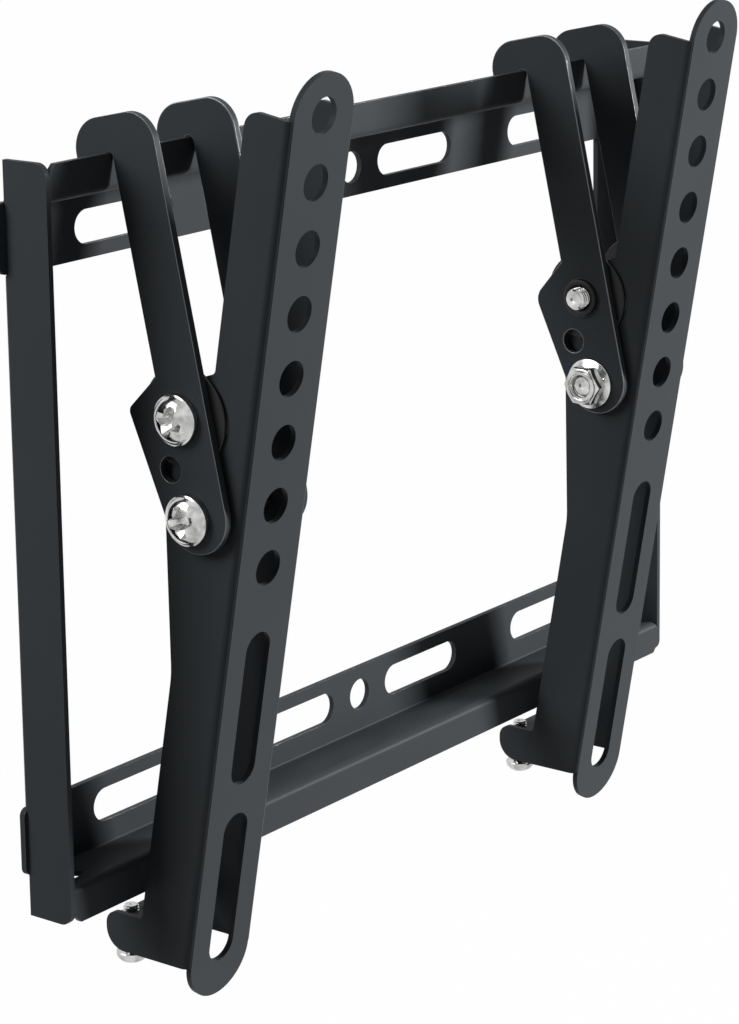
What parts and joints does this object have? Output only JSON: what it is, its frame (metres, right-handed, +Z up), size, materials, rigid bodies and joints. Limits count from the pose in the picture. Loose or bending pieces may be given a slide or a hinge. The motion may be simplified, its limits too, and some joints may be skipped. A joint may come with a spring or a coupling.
{
  "type": "tilting tv wall bracket",
  "caption": "Low tilting wall bracket: slotted wall frame with lipped rails and hooked tilt arms for a flat television.",
  "frame": {"origin": "centre of the wall frame on the wall plane", "axes": "+X along the rails to the right, +Y into the wall, +Z up"},
  "size_m": [0.2684, 0.0686, 0.2342],
  "materials": {
    "powder_coat": "satin black powder coat",
    "zinc": "bright zinc plate",
    "black_steel": "black oxide"
  },
  "bodies": {
    "wall_frame": {"top_rail": "powder_coat", "bottom_rail": "powder_coat", "left_side_member": "powder_coat", "right_side_member": "powder_coat"},
    "left_hooks": {"left_outer_hook": "powder_coat", "left_inner_hook": "powder_coat", "left_pivot_bolt": "zinc", "left_pivot_nut": "zinc", "left_tilt_bolt": "zinc", "left_tilt_nut": "black_steel", "left_pivot_washers": "black_steel", "left_tilt_washers": "black_steel"},
    "left_arm": {"left_arm_channel": "powder_coat", "left_lock_plate": "powder_coat"},
    "left_screw": {"left_lock_screw": "zinc"},
    "right_hooks": {"right_outer_hook": "powder_coat", "right_inner_hook": "powder_coat", "right_pivot_bolt": "zinc", "right_pivot_nut": "zinc", "right_tilt_bolt": "zinc", "right_tilt_nut": "black_steel", "right_pivot_washers": "black_steel", "right_tilt_washers": "black_steel"},
    "right_arm": {"right_arm_channel": "powder_coat", "right_lock_plate": "powder_coat"},
    "right_screw": {"right_lock_screw": "zinc"}
  },
  "joints": [
    {"name": "left_hook_swing", "type": "hinge", "parent": "wall_frame", "child": "left_hooks", "pos_m": [-0.0941, -0.01425, 0.09145], "axis": [1, 0, 0], "range_deg": [-2.4, 11.6]},
    {"name": "left_arm_tilt", "type": "hinge", "parent": "left_hooks", "child": "left_arm", "pos_m": [-0.0941, -0.0366, 0.007], "axis": [1, 0, 0], "range_deg": [-21.8, 4.7]},
    {"name": "left_lock_travel", "type": "slide", "parent": "left_arm", "child": "left_screw", "axis": [0, 0, 1], "range_m": [0, 0.0078]},
    {"name": "right_hook_swing", "type": "hinge", "parent": "wall_frame", "child": "right_hooks", "pos_m": [0.0767, -0.01425, 0.09145], "axis": [1, 0, 0], "range_deg": [-2.4, 11.6]},
    {"name": "right_arm_tilt", "type": "hinge", "parent": "right_hooks", "child": "right_arm", "pos_m": [0.0767, -0.0366, 0.007], "axis": [1, 0, 0], "range_deg": [-21.8, 4.7]},
    {"name": "right_lock_travel", "type": "slide", "parent": "right_arm", "child": "right_screw", "axis": [0, 0, 1], "range_m": [0, 0.0078]}
  ],
  "couplings": [
    {"joint": "left_arm_tilt", "follows": "left_hook_swing", "ratio": -1.86},
    {"joint": "right_arm_tilt", "follows": "right_hook_swing", "ratio": -1.86}
  ]
}
